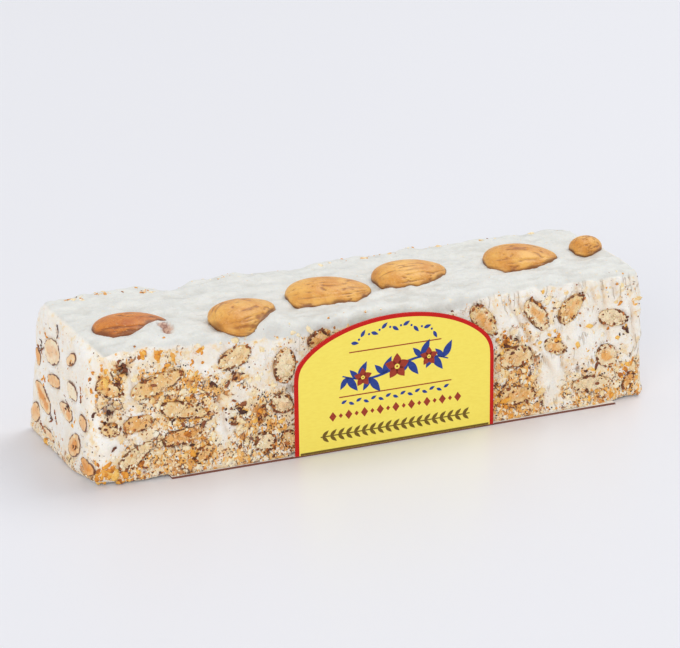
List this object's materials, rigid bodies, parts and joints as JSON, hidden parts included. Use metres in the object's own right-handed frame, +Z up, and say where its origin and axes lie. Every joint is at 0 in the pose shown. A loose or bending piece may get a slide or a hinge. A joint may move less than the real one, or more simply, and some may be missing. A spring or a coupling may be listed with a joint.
{
  "type": "nougat bar",
  "caption": "Bar of white almond nougat, whole almonds on top, cut almonds at the sides, on a folded card with an arched label.",
  "frame": {"origin": "centre of the overall footprint, on the surface that the card lies on", "axes": "+X along the bar, -Y towards the side with the standing label, +Z up"},
  "size_m": [0.1642, 0.0518, 0.0418],
  "materials": {
    "nougat": "matt, chalky white",
    "card": "printed, slightly glossy",
    "toasted_almond": "toasted skin, satin",
    "cut_almond": "cut nut, matt"
  },
  "bodies": {
    "root": {"nougat": "nougat", "card": "card", "almond_top_1": "toasted_almond", "almond_top_2": "toasted_almond", "almond_top_3": "toasted_almond", "almond_top_4": "toasted_almond", "almond_top_5": "toasted_almond", "almond_top_6": "toasted_almond", "almond_front_01": "cut_almond", "almond_front_02": "cut_almond", "almond_front_03": "cut_almond", "almond_front_04": "cut_almond", "almond_front_05": "cut_almond", "almond_front_06": "cut_almond", "almond_front_07": "cut_almond", "almond_front_08": "cut_almond", "almond_front_09": "cut_almond", "almond_front_10": "cut_almond", "almond_front_11": "cut_almond", "almond_front_12": "cut_almond", "almond_front_13": "cut_almond", "almond_front_14": "cut_almond", "almond_front_15": "cut_almond", "almond_front_16": "cut_almond", "almond_front_17": "cut_almond", "almond_front_18": "cut_almond", "almond_front_19": "cut_almond", "almond_front_20": "cut_almond", "almond_front_21": "cut_almond", "almond_front_22": "cut_almond", "almond_front_23": "cut_almond", "almond_front_24": "cut_almond", "almond_front_25": "cut_almond", "almond_left_01": "cut_almond", "almond_left_02": "cut_almond", "almond_left_03": "cut_almond", "almond_left_04": "cut_almond", "almond_left_05": "cut_almond", "almond_left_06": "cut_almond", "almond_left_07": "cut_almond", "almond_left_08": "cut_almond", "almond_left_09": "cut_almond", "almond_left_10": "cut_almond", "almond_left_11": "cut_almond", "almond_left_12": "cut_almond", "almond_right_01": "cut_almond", "almond_right_02": "cut_almond", "almond_right_03": "cut_almond", "almond_right_04": "cut_almond", "almond_right_05": "cut_almond", "almond_back_01": "cut_almond", "almond_back_02": "cut_almond", "almond_back_03": "cut_almond", "almond_back_04": "cut_almond", "almond_back_05": "cut_almond", "almond_back_06": "cut_almond", "almond_back_07": "cut_almond", "almond_back_08": "cut_almond", "almond_back_09": "cut_almond"}
  },
  "joints": []
}
